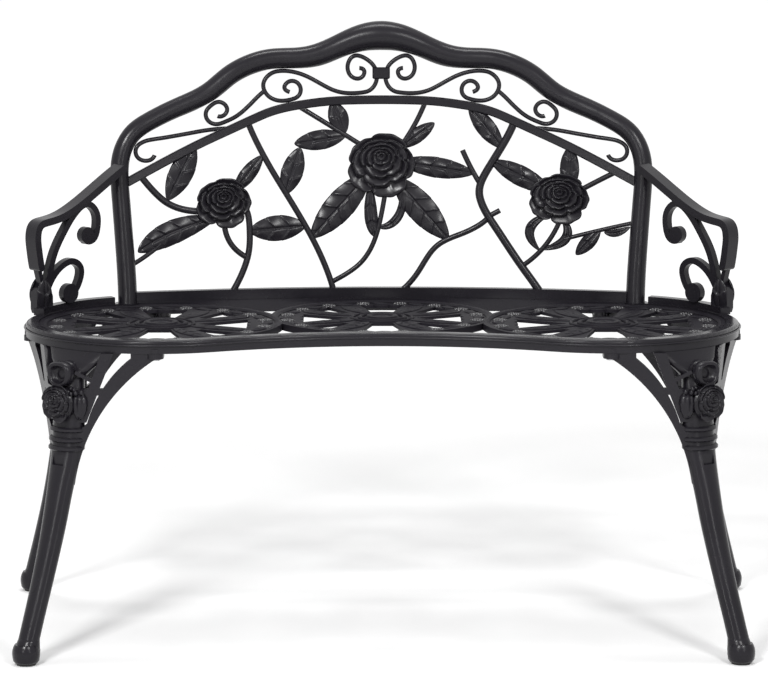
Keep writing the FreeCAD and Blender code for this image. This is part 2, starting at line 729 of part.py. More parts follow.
# Legs. Shaft: (height, how far inside the foot, tangential width, radial depth)
LEG_SECTIONS = [
    (14, 0, 29, 28), (55, 15, 28, 27), (90, 29, 29, 27), (135, 46, 31, 28), (180, 61, 34, 29),
    (228, 75, 38, 30), (264, 85, 43, 31), (310, 92, 46, 32), (362, 98, 38, 28),
]
CAPITAL_DEPTH = 20.0
CAPITAL_DROP = 13.0
# Wings, drawn as (from the shaft, below the seat) and stretched to the pad that carries them
DRAWN_WING = 121.0
WING_ROOT = 5
WING_DEPTH = 11.0
WING_OUTER = [(122, -7), (64, -60), (17, -170)]
WING_INNER = [(90, -7), (59, -39), (33, -92)]
WING_FOOT = [(8, -110), (4, -170)]
WING_RIB = [(52, 0), (68, 0), (33, -89), (20, -89)]
WING_LINK = [(0, -46), (60, -46), (60, -54), (0, -54)]
WING_TWIG = [(20, -22), (44, -35), (42, -39), (18, -26)]
# Knee ornament; heights are drawn like the shaft's
ROSETTE_HEIGHT = 329.0
ROSETTE_DIAMETER = 42.0
ROSETTE_STAND = 10.0
ROSETTE_PROFILE = [(1, -5), (0.85, 0), (0.6, 0), (0.42, -3), (0.3, 2), (0, 4)]
BUD_HEIGHT = 366.0
BUD_DIAMETER = 32.0
BUD_STAND = 6.0
BAND_HEIGHTS = (294.0, 281.0, 270.0)
BAND_TALL = 6.0
BAND_STAND = 4.0
POCKET_HEIGHT = 256.0
POCKET = (18.0, 14.0, 3.0)


def ellipse(reach, height, wide, deep):
    """A level oval across the leg."""
    centre = Vector(reach, 0, height)
    oval = Part.Ellipse(centre + Vector(0, wide / 2, 0), centre + Vector(-deep / 2, 0, 0), centre)
    return Part.Wire(oval.toShape())


def shaft_at(height):
    """Centre, width and depth of the leg's shaft at a drawn height."""
    for low, high in zip(LEG_SECTIONS, LEG_SECTIONS[1:]):
        if low[0] <= height <= high[0]:
            share = (height - low[0]) / (high[0] - low[0])
            inside, wide, deep = [a + share * (b - a) for a, b in zip(low[1:], high[1:])]
            return Vector(LEG_REACH - inside, 0, height * LIFT), wide, deep


def foot():
    """Squat rounded foot, flat where it stands on its glide."""
    base = Vector(FOOT_BASE / 2, 0, GLIDE_HEIGHT)
    bulge = Vector(FOOT_DIAMETER / 2, 0, (GLIDE_HEIGHT + FOOT_HEIGHT) / 2)
    shoulder = Vector(FOOT_BASE / 2, 0, FOOT_HEIGHT)
    inside = [shoulder, Vector(0, 0, FOOT_HEIGHT), Vector(0, 0, GLIDE_HEIGHT), base]
    outline = Part.Wire([Part.Arc(base, bulge, shoulder).toShape(), Part.makePolygon(inside)])
    shape = Part.Face(outline).revolve(Vector(), Vector(0, 0, 1), 360)
    shape.translate(Vector(LEG_REACH, 0, 0))
    return shape


def knee():
    """Ornament on the front of the shaft: flower, bud and ribbed bands."""
    centre, wide, deep = shaft_at(ROSETTE_HEIGHT)
    radius = ROSETTE_DIAMETER / 2
    face = deep / 2 + ROSETTE_STAND
    profile = [Vector(share * radius, 0, face + height) for share, height in ROSETTE_PROFILE]
    profile = [Vector(0, 0, 0), Vector(radius, 0, 0)] + profile
    rosette = Part.Face(Part.makePolygon(profile + profile[:1])).revolve(Vector(), Vector(0, 0, 1), 360)
    rosette.Placement = Placement(centre, Rotation(Vector(0, 0, 1), Vector(1, 0, 0)))
    bud_centre = Vector(LEG_REACH - LEG_SECTIONS[-1][1] + BUD_STAND, 0, BUD_HEIGHT * LIFT)
    pieces = [rosette, Part.makeSphere(BUD_DIAMETER / 2, bud_centre)]
    for height in BAND_HEIGHTS:
        centre, wide, deep = shaft_at(height)
        low = centre.z - BAND_TALL / 2
        oval = ellipse(centre.x, low, wide + 2 * BAND_STAND, deep + 2 * BAND_STAND)
        band = Part.Face(oval).extrude(Vector(0, 0, BAND_TALL))
        pieces.append(band.makeChamfer(EDGE_EASE, band.Edges))
    return pieces


def wing(root, pad):
    """Pierced bracket in the upright plane from the shaft to a pad under the rim."""
    run = pad - root
    stretch = run.Length / DRAWN_WING
    ray = Vector(run).normalize()
    facing = Vector(0, 0, 1).cross(ray)
    corner = root - facing * (WING_DEPTH / 2)

    def at(along, below):
        return corner + ray * (along * stretch) + Vector(0, 0, SEAT_UNDER + below * LIFT)

    def slab(edges):
        return Part.Face(Part.Wire(edges)).extrude(facing * WING_DEPTH)

    outer = [at(*point) for point in WING_OUTER]
    inner = [at(*point) for point in WING_INNER]
    foot = [at(*point) for point in WING_FOOT]
    rise = Vector(0, 0, PAD_THICKNESS)
    brace = slab([
        Part.Arc(*outer).toShape(), Part.makePolygon([outer[-1], foot[1], foot[0], inner[-1]]),
        Part.Arc(*reversed(inner)).toShape(),
        Part.makePolygon([inner[0], inner[0] + rise, outer[0] + rise, outer[0]]),
    ])
    pieces = [brace]
    for outline in (WING_RIB, WING_LINK, WING_TWIG):
        corners = [at(*point) for point in outline]
        pieces.append(slab([Part.makePolygon(corners + corners[:1])]))
    return pieces


def leg(degrees, pads, spread):
    """One corner leg: curved shaft, flower knee, two pierced wings to the rim and a rounded foot."""
    home = Placement(Vector(-HUB_X, 0, 0), Rotation(Vector(0, 0, 1), 180 - degrees))
    shaft = Part.makeLoft([ellipse(LEG_REACH - inside, height * LIFT, wide, deep)
                           for height, inside, wide, deep in LEG_SECTIONS], True, False)
    height, inside, neck_wide, neck_deep = LEG_SECTIONS[-1]
    neck = LEG_REACH - inside
    deep = CAPITAL_DEPTH
    capital = Part.makeLoft([
        ellipse(neck, height * LIFT - 2, neck_wide, neck_deep),
        ellipse((neck + BAND_RADIUS) / 2, SEAT_UNDER - CAPITAL_DROP, 0.8 * spread, deep + 4),
        ellipse(BAND_RADIUS, SEAT_UNDER, spread, deep),
    ], True, True)
    pieces = [capital, foot()] + knee()
    root = Vector(LEG_REACH - LEG_SECTIONS[WING_ROOT][1], 0, 0)
    for pad in pads:
        pieces += wing(root, home.inverse().multVec(around(BAND_RADIUS, pad)))
        low = SEAT_UNDER - PAD_THICKNESS
        plate = slot_plate(LUG_RADIUS, BAND_RADIUS, pad, PAD_WIDTH, low, PAD_THICKNESS)
        plate.Placement = home.inverse().multiply(plate.Placement)
        pieces.append(plate)
    whole = shaft.multiFuse(pieces)
    centre, wide, deep = shaft_at(POCKET_HEIGHT)
    across, tall, sunk = POCKET
    corner = Vector(centre.x + deep / 2 - sunk, -across / 2, centre.z - tall / 2)
    pocket = Part.makeBox(deep, across, tall, corner)
    above = Part.makeBox(2 * WIDTH, 2 * WIDTH, WIDTH, Vector(-WIDTH, -WIDTH, SEAT_UNDER))
    whole = seated(whole, [pocket, above])
    whole.Placement = home.multiply(whole.Placement)
    return seated(whole, [cylinder(M6["hole"], around(LUG_RADIUS, pad), SEAT_UNDER) for pad in pads])


# Fasteners
def hexagon(flats, base, height):
    radius = flats / math.sqrt(3)
    corners = [base + Vector(radius * math.cos(k * math.pi / 3), radius * math.sin(k * math.pi / 3), 0)
               for k in range(6)]
    return prism(Part.makePolygon(corners + corners[:1]), height)


def bolt_set(size, seat_point, grip):
    """Bolt and washer that pull upwards against a flat underside."""
    under = seat_point - Vector(0, 0, size["plate"])
    head = hexagon(size["flats"], under - Vector(0, 0, size["head"]), size["head"])
    bolt = head.fuse(cylinder(size["thread"], under, size["plate"] + grip))
    washer = cylinder(size["washer"], under, size["plate"])
    return bolt, washer.cut(cylinder(size["hole"], under, size["plate"]))


def fasteners():
    leg_points = [around(LUG_RADIUS, pad, SEAT_UNDER - PAD_THICKNESS) for pad in leg_pad_angles()]
    arm_points = [around(BAND_RADIUS, degrees, SEAT_UNDER) for degrees in ARM_BOLT_ANGLES]
    kinds = {
        "leg": (M6, leg_points, PAD_THICKNESS + LUG_HEIGHT - 0.5),
        "arm": (M6, arm_points, RIM_HEIGHT + ARM_FOOT_HEIGHT - 2),
        "back": (M8, [post_foot()], RIM_HEIGHT + POST_BOLT_DEPTH),
    }
    pieces = {}
    for name, (size, points, grip) in kinds.items():
        sets = [bolt_set(size, point, grip) for point in points]
        pieces[name + "_bolts"] = [s for bolt, washer in sets for s in (bolt, mirrored(bolt))]
        pieces[name + "_washers"] = [s for bolt, washer in sets for s in (washer, mirrored(washer))]
    return pieces


nodes = back_panel()
nodes["seat_rim"] = [seat_rim()]
left_medallion, middle_medallion, right_medallion = medallions()
nodes["medallion_left"] = [left_medallion]
nodes["medallion_middle"] = [middle_medallion]
nodes["medallion_right"] = [right_medallion]
left_arm = arm()
nodes["arm_left"] = [left_arm]
nodes["arm_right"] = [mirrored(left_arm)]
legs = {
    "front": (FRONT_LEG_ANGLE, FRONT_PADS, FRONT_CAPITAL),
    "back": (BACK_LEG_ANGLE, BACK_PADS, BACK_CAPITAL),
}
for place, (degrees, pads, spread) in legs.items():
    left_leg = leg(degrees, pads, spread)
    glide = cylinder(GLIDE_DIAMETER, around(LEG_REACH, degrees, 0), GLIDE_HEIGHT)
    nodes["leg_" + place + "_left"] = [left_leg]
    nodes["leg_" + place + "_right"] = [mirrored(left_leg)]
    nodes["glides_" + place] = [glide, mirrored(glide)]
nodes.update(fasteners())

# The origin goes to the middle of the bench's box, on the floor.
everything = Part.makeCompound([solid for solids in nodes.values() for solid in solids])
centre = everything.optimalBoundingBox().Center
for name, solids in nodes.items():
    shape = Part.makeCompound(solids)
    shape.translate(Vector(-centre.x, -centre.y, 0))
    shape.exportStep("parts/" + name + ".step")
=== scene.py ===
import json
import math
from collections import namedtuple

import bmesh
import bpy
from mathutils import Matrix, Vector


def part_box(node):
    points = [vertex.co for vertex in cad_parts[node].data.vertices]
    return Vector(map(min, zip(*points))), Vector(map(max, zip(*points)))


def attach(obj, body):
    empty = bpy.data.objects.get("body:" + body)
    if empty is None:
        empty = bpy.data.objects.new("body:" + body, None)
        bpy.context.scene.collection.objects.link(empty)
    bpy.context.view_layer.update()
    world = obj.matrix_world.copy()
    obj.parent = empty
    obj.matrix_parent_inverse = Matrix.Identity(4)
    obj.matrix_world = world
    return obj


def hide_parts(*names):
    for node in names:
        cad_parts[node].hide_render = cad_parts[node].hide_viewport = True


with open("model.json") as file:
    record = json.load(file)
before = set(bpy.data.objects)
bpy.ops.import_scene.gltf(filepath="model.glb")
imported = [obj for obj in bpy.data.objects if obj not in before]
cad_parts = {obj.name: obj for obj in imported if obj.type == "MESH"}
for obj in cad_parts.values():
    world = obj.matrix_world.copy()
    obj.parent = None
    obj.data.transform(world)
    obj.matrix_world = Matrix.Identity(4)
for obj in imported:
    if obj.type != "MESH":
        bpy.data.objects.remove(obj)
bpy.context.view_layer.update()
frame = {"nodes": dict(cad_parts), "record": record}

scene = bpy.context.scene
nodes = frame["nodes"]

# The bench is drawn in millimetres; a value that is multiplied by MM is in metres
MM = 0.001
SEAM = 0.01 * MM
CASTING = "coated_aluminium"
SEAT_NODES = ("medallion_left", "medallion_middle", "medallion_right")


# Finishes: each has a dark and a light colour, and wears the same pebbled grain

COAT_COLOURS = ((0.0085, 0.0076, 0.0104), (0.0128, 0.0115, 0.0150))
GLIDE_COLOURS = ((0.010, 0.010, 0.010), (0.016, 0.016, 0.016))
STEEL_COLOURS = ((0.30, 0.30, 0.31), (0.36, 0.36, 0.37))
COAT_GRAIN = 900
PEBBLE_DETAIL = 3
PEBBLE_DEPTH = 0.4 * MM
CLOUD_SCALE = 14
CLOUD_DETAIL = 4
CLOUD_RANGE = (0.3, 0.7)
ROUGHNESS_CHANGE = (-0.05, 0.05)
GRAIN_SOCKETS = [
    ("Dark", "INPUT", "NodeSocketColor"),
    ("Light", "INPUT", "NodeSocketColor"),
    ("Grain", "INPUT", "NodeSocketFloat"),
    ("Base Roughness", "INPUT", "NodeSocketFloat"),
    ("Colour", "OUTPUT", "NodeSocketColor"),
    ("Roughness", "OUTPUT", "NodeSocketFloat"),
    ("Height", "OUTPUT", "NodeSocketFloat"),
]


def map_range(tree, start, end):
    """A node that maps one range of values to another."""
    node = tree.new("ShaderNodeMapRange")
    for socket, value in zip(("From Min", "From Max", "To Min", "To Max"), (*start, *end)):
        node.inputs[socket].default_value = value
    return node


def powder_coat_grain():
    """Node group: fine pebbled grain, and a faint clouding of the colour and the roughness."""
    group = bpy.data.node_groups.new("powder_coat_grain", "ShaderNodeTree")
    for name, way, kind in GRAIN_SOCKETS:
        group.interface.new_socket(name, in_out=way, socket_type=kind)
    tree, link = group.nodes, group.links.new
    inputs = tree.new("NodeGroupInput")
    outputs = tree.new("NodeGroupOutput")
    place = tree.new("ShaderNodeTexCoord")
    pebble = tree.new("ShaderNodeTexNoise")
    pebble.inputs["Detail"].default_value = PEBBLE_DETAIL
    link(place.outputs["Object"], pebble.inputs["Vector"])
    link(inputs.outputs["Grain"], pebble.inputs["Scale"])
    cloud = tree.new("ShaderNodeTexNoise")
    cloud.inputs["Scale"].default_value = CLOUD_SCALE
    cloud.inputs["Detail"].default_value = CLOUD_DETAIL
    link(place.outputs["Object"], cloud.inputs["Vector"])
    shade = tree.new("ShaderNodeMix")
    shade.data_type = "RGBA"
    link(cloud.outputs["Fac"], shade.inputs["Factor"])
    link(inputs.outputs["Dark"], shade.inputs["A"])
    link(inputs.outputs["Light"], shade.inputs["B"])
    change = map_range(tree, CLOUD_RANGE, ROUGHNESS_CHANGE)
    link(cloud.outputs["Fac"], change.inputs["Value"])
    roughness = tree.new("ShaderNodeMath")
    link(inputs.outputs["Base Roughness"], roughness.inputs[0])
    link(change.outputs["Result"], roughness.inputs[1])
    link(shade.outputs["Result"], outputs.inputs["Colour"])
    link(roughness.outputs["Value"], outputs.inputs["Roughness"])
    link(pebble.outputs["Fac"], outputs.inputs["Height"])
    return group


GRAIN_GROUP = powder_coat_grain()


def coated(name, colours, grain, roughness, relief, metallic=0.0, specular=0.5):
    """A finish that wears the grain in its own colours, roughness and relief."""
    material = bpy.data.materials.new(name)
    material.use_nodes = True
    tree, link = material.node_tree.nodes, material.node_tree.links.new
    shader = tree["Principled BSDF"]
    shader.inputs["Metallic"].default_value = metallic
    shader.inputs["Specular IOR Level"].default_value = specular
    coat = tree.new("ShaderNodeGroup")
    coat.node_tree = GRAIN_GROUP
    for socket, colour in zip(("Dark", "Light"), colours):
        coat.inputs[socket].default_value = (*colour, 1)
    coat.inputs["Grain"].default_value = grain
    coat.inputs["Base Roughness"].default_value = roughness
    bump = tree.new("ShaderNodeBump")
    bump.inputs["Strength"].default_value = relief
    bump.inputs["Distance"].default_value = PEBBLE_DEPTH
    link(coat.outputs["Colour"], shader.inputs["Base Color"])
    link(coat.outputs["Roughness"], shader.inputs["Roughness"])
    link(coat.outputs["Height"], bump.inputs["Height"])
    link(bump.outputs["Normal"], shader.inputs["Normal"])
    return material


BLACK_COAT = coated(
    "black_powder_coat", COAT_COLOURS, COAT_GRAIN, roughness=0.25, relief=0.035, specular=0.2
)
SEAT_COAT = coated(
    "matt_seat_coat", COAT_COLOURS, COAT_GRAIN, roughness=0.5, relief=0.07, specular=0.06
)
RUBBED_COAT = coated(
    "rubbed_grape_coat", COAT_COLOURS, COAT_GRAIN, roughness=0.17, relief=0.03, specular=0.6
)
GLIDE_PLASTIC = coated("black_glide", GLIDE_COLOURS, grain=500, roughness=0.7, relief=0.2)
STEEL = coated(
    "stainless_fasteners", STEEL_COLOURS, grain=700, roughness=0.35, relief=0.1, metallic=1.0
)
FINISHES = {CASTING: BLACK_COAT, "glide": GLIDE_PLASTIC, "fastener": STEEL}


def dress_frame():
    """Every CAD node wears the finish of its slot, with the seat's own duller coat."""
    for part in frame["record"]["subparts"]:
        finish = SEAT_COAT if part["node"] in SEAT_NODES else FINISHES[part["material_slot"]]
        worn = nodes[part["node"]].data.materials
        worn.clear()
        worn.append(finish)


# Ways of making a piece

TURNED_SIDES = 32


def casting(name, shape, wall=0.0, replaced=(), finish=BLACK_COAT):
    """Makes a piece of the bench from a finished bmesh; a sheet gets a wall behind its face."""
    mesh = bpy.data.meshes.new(name)
    shape.to_mesh(mesh)
    shape.free()
    for face in mesh.polygons:
        face.use_smooth = True
    mesh.materials.append(finish)
    piece = bpy.data.objects.new(name, mesh)
    scene.collection.objects.link(piece)
    if wall:
        thickness = piece.modifiers.new("wall", "SOLIDIFY")
        thickness.thickness = wall * MM
        thickness.offset = -1
    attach(piece, "root")
    if replaced:
        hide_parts(*replaced)


def mirror_copy(shape):
    """The same shape on the bench's other side."""
    other = shape.copy()
    bmesh.ops.scale(other, verts=other.verts, vec=(-1, 1, 1))
    bmesh.ops.reverse_faces(other, faces=other.faces)
    return other


def both_sides(name, shape, wall=0.0):
    """Makes a left piece from the shape, and the right one as its mirror image."""
    casting(name + "_right", mirror_copy(shape), wall)
    casting(name + "_left", shape, wall)


def shaped_grid(shape, columns, rows, form):
    """Adds a grid; the form turns a place on it, -1 to 1 each way, into a point."""
    verts = bmesh.ops.create_grid(shape, x_segments=columns, y_segments=rows, size=1)["verts"]
    for vert in verts:
        vert.co = form(vert.co.x, vert.co.y)
    return verts


def closed_grid(shape, columns, rows, form):
    """A grid whose form brings its edges together: the seam and the poles are merged."""
    verts = shaped_grid(shape, columns, rows, form)
    bmesh.ops.remove_doubles(shape, verts=verts, dist=SEAM)


def turned(shape, profile, place, sides=TURNED_SIDES):
    """A closed turned form; its profile lists radius and height from one end to the other."""
    rings = len(profile) - 1

    def form(x, y):
        turn = math.pi * x
        radius, height = profile[round((y + 1) / 2 * rings)]
        return place(radius * math.cos(turn), radius * math.sin(turn), height)

    closed_grid(shape, sides, rings, form)


# Back panel: drawn across, above the seat and out towards the sitter

SEAT_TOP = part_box("seat_rim")[1].z
RAIL_HALF_DEPTH = 6 * MM
BACK_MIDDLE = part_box("lower_rail")[1].y - RAIL_HALF_DEPTH
BOW_RADIUS = 1281.9 * MM
LEAN = math.tan(math.radians(7.5))


def on_back(across, above, out):
    """A point of the bowed, leaning back, in metres."""
    x = across * MM
    bow = BOW_RADIUS - math.sqrt(BOW_RADIUS**2 - x**2)
    return Vector((x, BACK_MIDDLE - bow + (LEAN * above - out) * MM, SEAT_TOP + above * MM))


def route_point(route, share):
    """A point on the smooth curve through a few drawn points."""
    last = len(route) - 1
    point = Vector((0, 0))
    for i, stop in enumerate(route):
        weight = 1.0
        for j in range(len(route)):
            if j != i:
                weight *= (share * last - j) / (i - j)
        point += Vector(stop) * weight
    return point


# Leaves of the back: width, and midrib from stalk to tip

LEAVES = {
    "left": [
        (33, [(-291, 136), (-254, 209)]),
        (33, [(-226, 110), (-286, 92), (-331, 67)]),
        (21, [(-202, 144), (-162, 194)]),
    ],
    "middle": [
        (35, [(-103, 98), (-181, 92)]),
        (30, [(-132, 140), (-111, 204)]),
        (27, [(-49, 219), (-119, 209)]),
        (27, [(-50, 222), (-67, 266)]),
        (40, [(-16, 169), (-96, 81)]),
        (18, [(-15, 158), (-14, 110), (-8, 82)]),
        (39, [(16, 164), (92, 79)]),
        (28, [(24, 184), (127, 169)]),
        (20, [(26, 203), (73, 237)]),
        (12, [(23, 158), (28, 122), (14, 100), (-6, 97)]),
    ],
    "right": [
        (26, [(166, 203), (120, 260)]),
        (28, [(232, 146), (150, 186)]),
        (26, [(256, 146), (257, 208)]),
        (13, [(232, 116), (203, 94), (217, 65)]),
        (13, [(244, 114), (252, 84), (218, 67)]),
        (19, [(298, 96), (265, 61)]),
        (10, [(303, 93), (319, 92), (338, 101)]),
    ],
}
# A blade's heights and widths; fullness rounds its outline, and fade lowers the veins at its edge
LEAF_WALL = 2.2
LEAF_LIFT = 0.8
LEAF_DOME = 2.6
LEAF_FULLNESS = 0.65
LEAF_END = 0.4
MIDRIB_DEPTH = 1.7
MIDRIB_HALF_WIDTH = 1.3
VEIN_SPACING = 21.0
VEIN_SLANT = 0.75
VEIN_RISE = 2.3
VEIN_START = 3
VEIN_FADE = 4
NOTCH_DEPTH = 0.03
# Fineness of a leaf's grid
LEAF_COLUMN = 3
LEAST_COLUMNS = 6
LEAF_ROW = 1.2
LEAST_ROWS = 24
RUN_STEP = 0.01


def leaf_blade(shape, place, width, route, relief=1.0):
    """One cast leaf: domed halves, a sunk midrib, stepped side veins and a notched edge."""
    length = (Vector(route[-1]) - Vector(route[0])).length
    columns = 2 * max(LEAST_COLUMNS, round(width / LEAF_COLUMN))
    rows = max(LEAST_ROWS, round(length / LEAF_ROW))

    def form(x, y):
        share = (y + 1) / 2
        run = route_point(route, share + RUN_STEP) - route_point(route, share - RUN_STEP)
        run.normalize()
        full = max(math.sin(math.pi * share), 0.0) ** LEAF_FULLNESS
        edge = full * width / 2 + LEAF_END
        notch = ((share * length - VEIN_SLANT * edge) / VEIN_SPACING) % 1
        half = edge * (1 - NOTCH_DEPTH + NOTCH_DEPTH * notch)
        off = abs(x) * half
        dome = LEAF_DOME * full * (1 - x * x)
        midrib = MIDRIB_DEPTH * full * math.exp(-((off / MIDRIB_HALF_WIDTH) ** 2))
        step = ((share * length - VEIN_SLANT * off) / VEIN_SPACING) % 1
        vein = VEIN_RISE * step**2 * full * min(off / VEIN_START, 1) * (1 - abs(x) ** VEIN_FADE)
        drawn = route_point(route, share) + Vector((run.y, -run.x)) * (x * half)
        return place(drawn.x, drawn.y, LEAF_LIFT + relief * (dome - midrib + vein))

    shaped_grid(shape, columns, rows, form)


def leaves():
    """The veined leaves of the back panel, in place of the plain CAD leaves."""
    for group, blades in LEAVES.items():
        shape = bmesh.new()
        for width, route in blades:
            leaf_blade(shape, on_back, width, route)
        casting("leaf_sprays_" + group, shape, wall=LEAF_WALL, replaced=["leaves_" + group])


# Roses of the back: across, above the seat, half width and half height

ROSES = {
    "left": (-215, 130, 41.0, 35.0),
    "middle": (0, 179, 50.5, 45.0),
    "right": (242, 136, 44.5, 35.5),
}
# Whorls from rim to heart: reach is a share of the rose, lip a height and turn in degrees
Whorl = namedtuple("Whorl", "petals reach lip turn")
WHORLS = [
    Whorl(petals=5, reach=1.00, lip=7.5, turn=36),
    Whorl(petals=5, reach=0.77, lip=11, turn=75),
    Whorl(petals=4, reach=0.57, lip=14, turn=20),
    Whorl(petals=3, reach=0.39, lip=16.5, turn=95),
    Whorl(petals=3, reach=0.24, lip=18, turn=40),
    Whorl(petals=2, reach=0.12, lip=18.5, turn=0),
]
# Cup, tilt and roll are heights; scallop, whim and wave are shares of a petal's reach
PETAL_CUP = 4.2
PETAL_CURVE = 1.5
PETAL_TILT = 4.0
PETAL_SCALLOP = 0.14
PETAL_ROUNDNESS = 0.5
PETAL_WHIM = 0.08
WHIM_PER_PETAL = 2.4
WHIM_PER_TURN = 1.7
LIP_FROM = 0.75
LIP_ROLL = 1.6
LIP_WAVE = 0.012
LIP_WAVES = 3
ROSE_WALL = 2.5
ROSE_SIDES = 120
ROSE_RINGS = 60
HEART_LIFT = 0.34
SEPALS = 5
SEPAL_LOBE = 0.16
# Behind a rose: radius as a share of its half height, and height out from the panel's middle
CALYX_PROFILE = [
    (0, -7), (0.15, -7), (0.22, -5.5), (0.26, -4), (0.45, -3),
    (0.62, -0.5), (0.66, 2), (0.6, 4), (0.45, 5), (0, 5),
]
CALYX_REACH = 0.66
CALYX_SIDES = 60


def whorl_edge(whorl, angle):
    """Reach of a scalloped whorl at an angle, and the place across its petal, 0 to 1."""
    turns = (whorl.petals * (angle - math.radians(whorl.turn)) / (2 * math.pi)) % whorl.petals
    across = turns % 1
    sway = math.sin(WHIM_PER_PETAL * math.floor(turns) + WHIM_PER_TURN * whorl.turn)
    whim = 1 - PETAL_WHIM * (1 + sway) / 2
    wave = 1 - LIP_WAVE * math.cos(2 * math.pi * LIP_WAVES * across)
    round_edge = PETAL_SCALLOP * math.sin(math.pi * across) ** PETAL_ROUNDNESS
    return whorl.reach * whim * wave * (1 - PETAL_SCALLOP + round_edge), across


def rose_height(share, angle):
    """Height of the bloom: a whorl is a ring of cups whose lips stand over the whorl outside."""
    inside = 0.0
    for whorl in reversed(WHORLS):
        edge, across = whorl_edge(whorl, angle)
        if share <= edge:
            break
        inside = edge
    rise = min((share - inside) / (edge - inside), 1)
    cup = PETAL_CUP * (1 - rise) ** PETAL_CURVE
    rolled = max(rise - LIP_FROM, 0) / (1 - LIP_FROM)
    return whorl.lip - cup - LIP_ROLL * rolled**2 + PETAL_TILT * (across - 0.5) * rise


def bloom(shape, place, wide, tall, sides, rings):
    """A many-petalled flower whose heart sits above its middle."""

    def form(x, y):
        angle = -math.pi * x
        share = (y + 1) / 2 * whorl_edge(WHORLS[0], angle)[0]
        right = share * wide * math.cos(angle)
        up = share * tall * math.sin(angle) + HEART_LIFT * tall * (1 - share)
        return place(right, up, rose_height(share, angle))

    closed_grid(shape, sides, rings, form)


def calyx(shape, place, tall):
    """Sepals and the end of the stalk behind a rose."""

    def lobed(right, up, out):
        share = math.hypot(right, up) / CALYX_REACH
        swell = tall * (1 + SEPAL_LOBE * share**2 * math.cos(SEPALS * math.atan2(up, right)))
        return place(right * swell, up * swell, out)

    turned(shape, CALYX_PROFILE, lobed, CALYX_SIDES)


def rose(name, across, above, wide, tall):
    """One rose of the back panel: the bloom in place of the CAD rose, and its calyx."""

    def on_rose(right, up, out):
        return on_back(across + right, above + up, out)

    petals, sepals = bmesh.new(), bmesh.new()
    bloom(petals, on_rose, wide, tall, ROSE_SIDES, ROSE_RINGS)
    casting("rose_bloom_" + name, petals, wall=ROSE_WALL, replaced=["rose_" + name])
    calyx(sepals, on_rose, tall)
    casting("rose_calyx_" + name, sepals)


def roses():
    """The three roses of the back panel."""
    for name, drawn in ROSES.items():
        rose(name, *drawn)


# Seat: leaf spokes, hub rings and a band of grapes and leaves on each pierced panel

PLATE_TOP = SEAT_TOP - 5 * MM
SEAT_RELIEF = 0.4
# Reaches and the spokes' width are shares of the panel's radius; a hub ring also has a thickness
HUB_RINGS = [(0.20, 3.2), (0.27, 2.4)]
RING_SIDES = 10
RING_STEPS = 64
SPOKE_ANGLES = [turn + lean for turn in (0, 180) for lean in (-63, -27, 27, 63)]
SPOKE_SPAN = (0.27, 0.80)
SPOKE_WIDTH = 0.15
CLUSTERS = 16
CLUSTER_STEP = 360 / CLUSTERS
CLUSTER_REACH = 0.865
BERRY_RADIUS = 3.8
BERRY_SIDES = 8
BERRY_RINGS = 6
BERRY_SPREAD = 6.6
BERRY_TURN = 60
HEART_BERRY_UP = -0.6
OUTER_BERRY_UP = -1.4
# A small leaf beside each cluster: reach, and the share of the way to the next cluster
SMALL_LEAF = [(0.84, 0.28), (0.90, 0.80)]
SMALL_LEAF_WIDTH = 14


def panel_circle(node):
    """Centre of a round seat panel, on the floor, and its radius, from the panel's own box."""
    low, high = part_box(node)
    radius = (high.y - low.y) / 2
    middle = 0.0 if node == "medallion_middle" else low.x + radius
    return Vector((middle, (low.y + high.y) / 2, 0)), radius


def ray(degrees):
    """A flat step of length one, that many degrees round from the right."""
    turn = math.radians(degrees)
    return Vector((math.cos(turn), math.sin(turn)))


def berry(shape, centre, radius):
    """One round berry."""
    ball = bmesh.ops.create_uvsphere(
        shape, u_segments=BERRY_SIDES, v_segments=BERRY_RINGS, radius=radius * MM
    )
    bmesh.ops.translate(shape, verts=ball["verts"], vec=centre)


def hub_ring(shape, centre, radius, thick):
    """A round bead that runs in a level circle."""
    circle = bmesh.ops.create_circle(shape, segments=RING_SIDES, radius=thick * MM)["verts"]
    bmesh.ops.rotate(shape, verts=circle, matrix=Matrix.Rotation(math.pi / 2, 3, "X"))
    bmesh.ops.translate(shape, verts=circle, vec=centre + Vector((radius * MM, 0, 0)))
    edges = [edge for edge in shape.edges if edge.verts[0] in circle]
    bmesh.ops.spin(
        shape, geom=circle + edges, cent=centre, axis=(0, 0, 1), angle=2 * math.pi,
        steps=RING_STEPS, use_merge=True,
    )


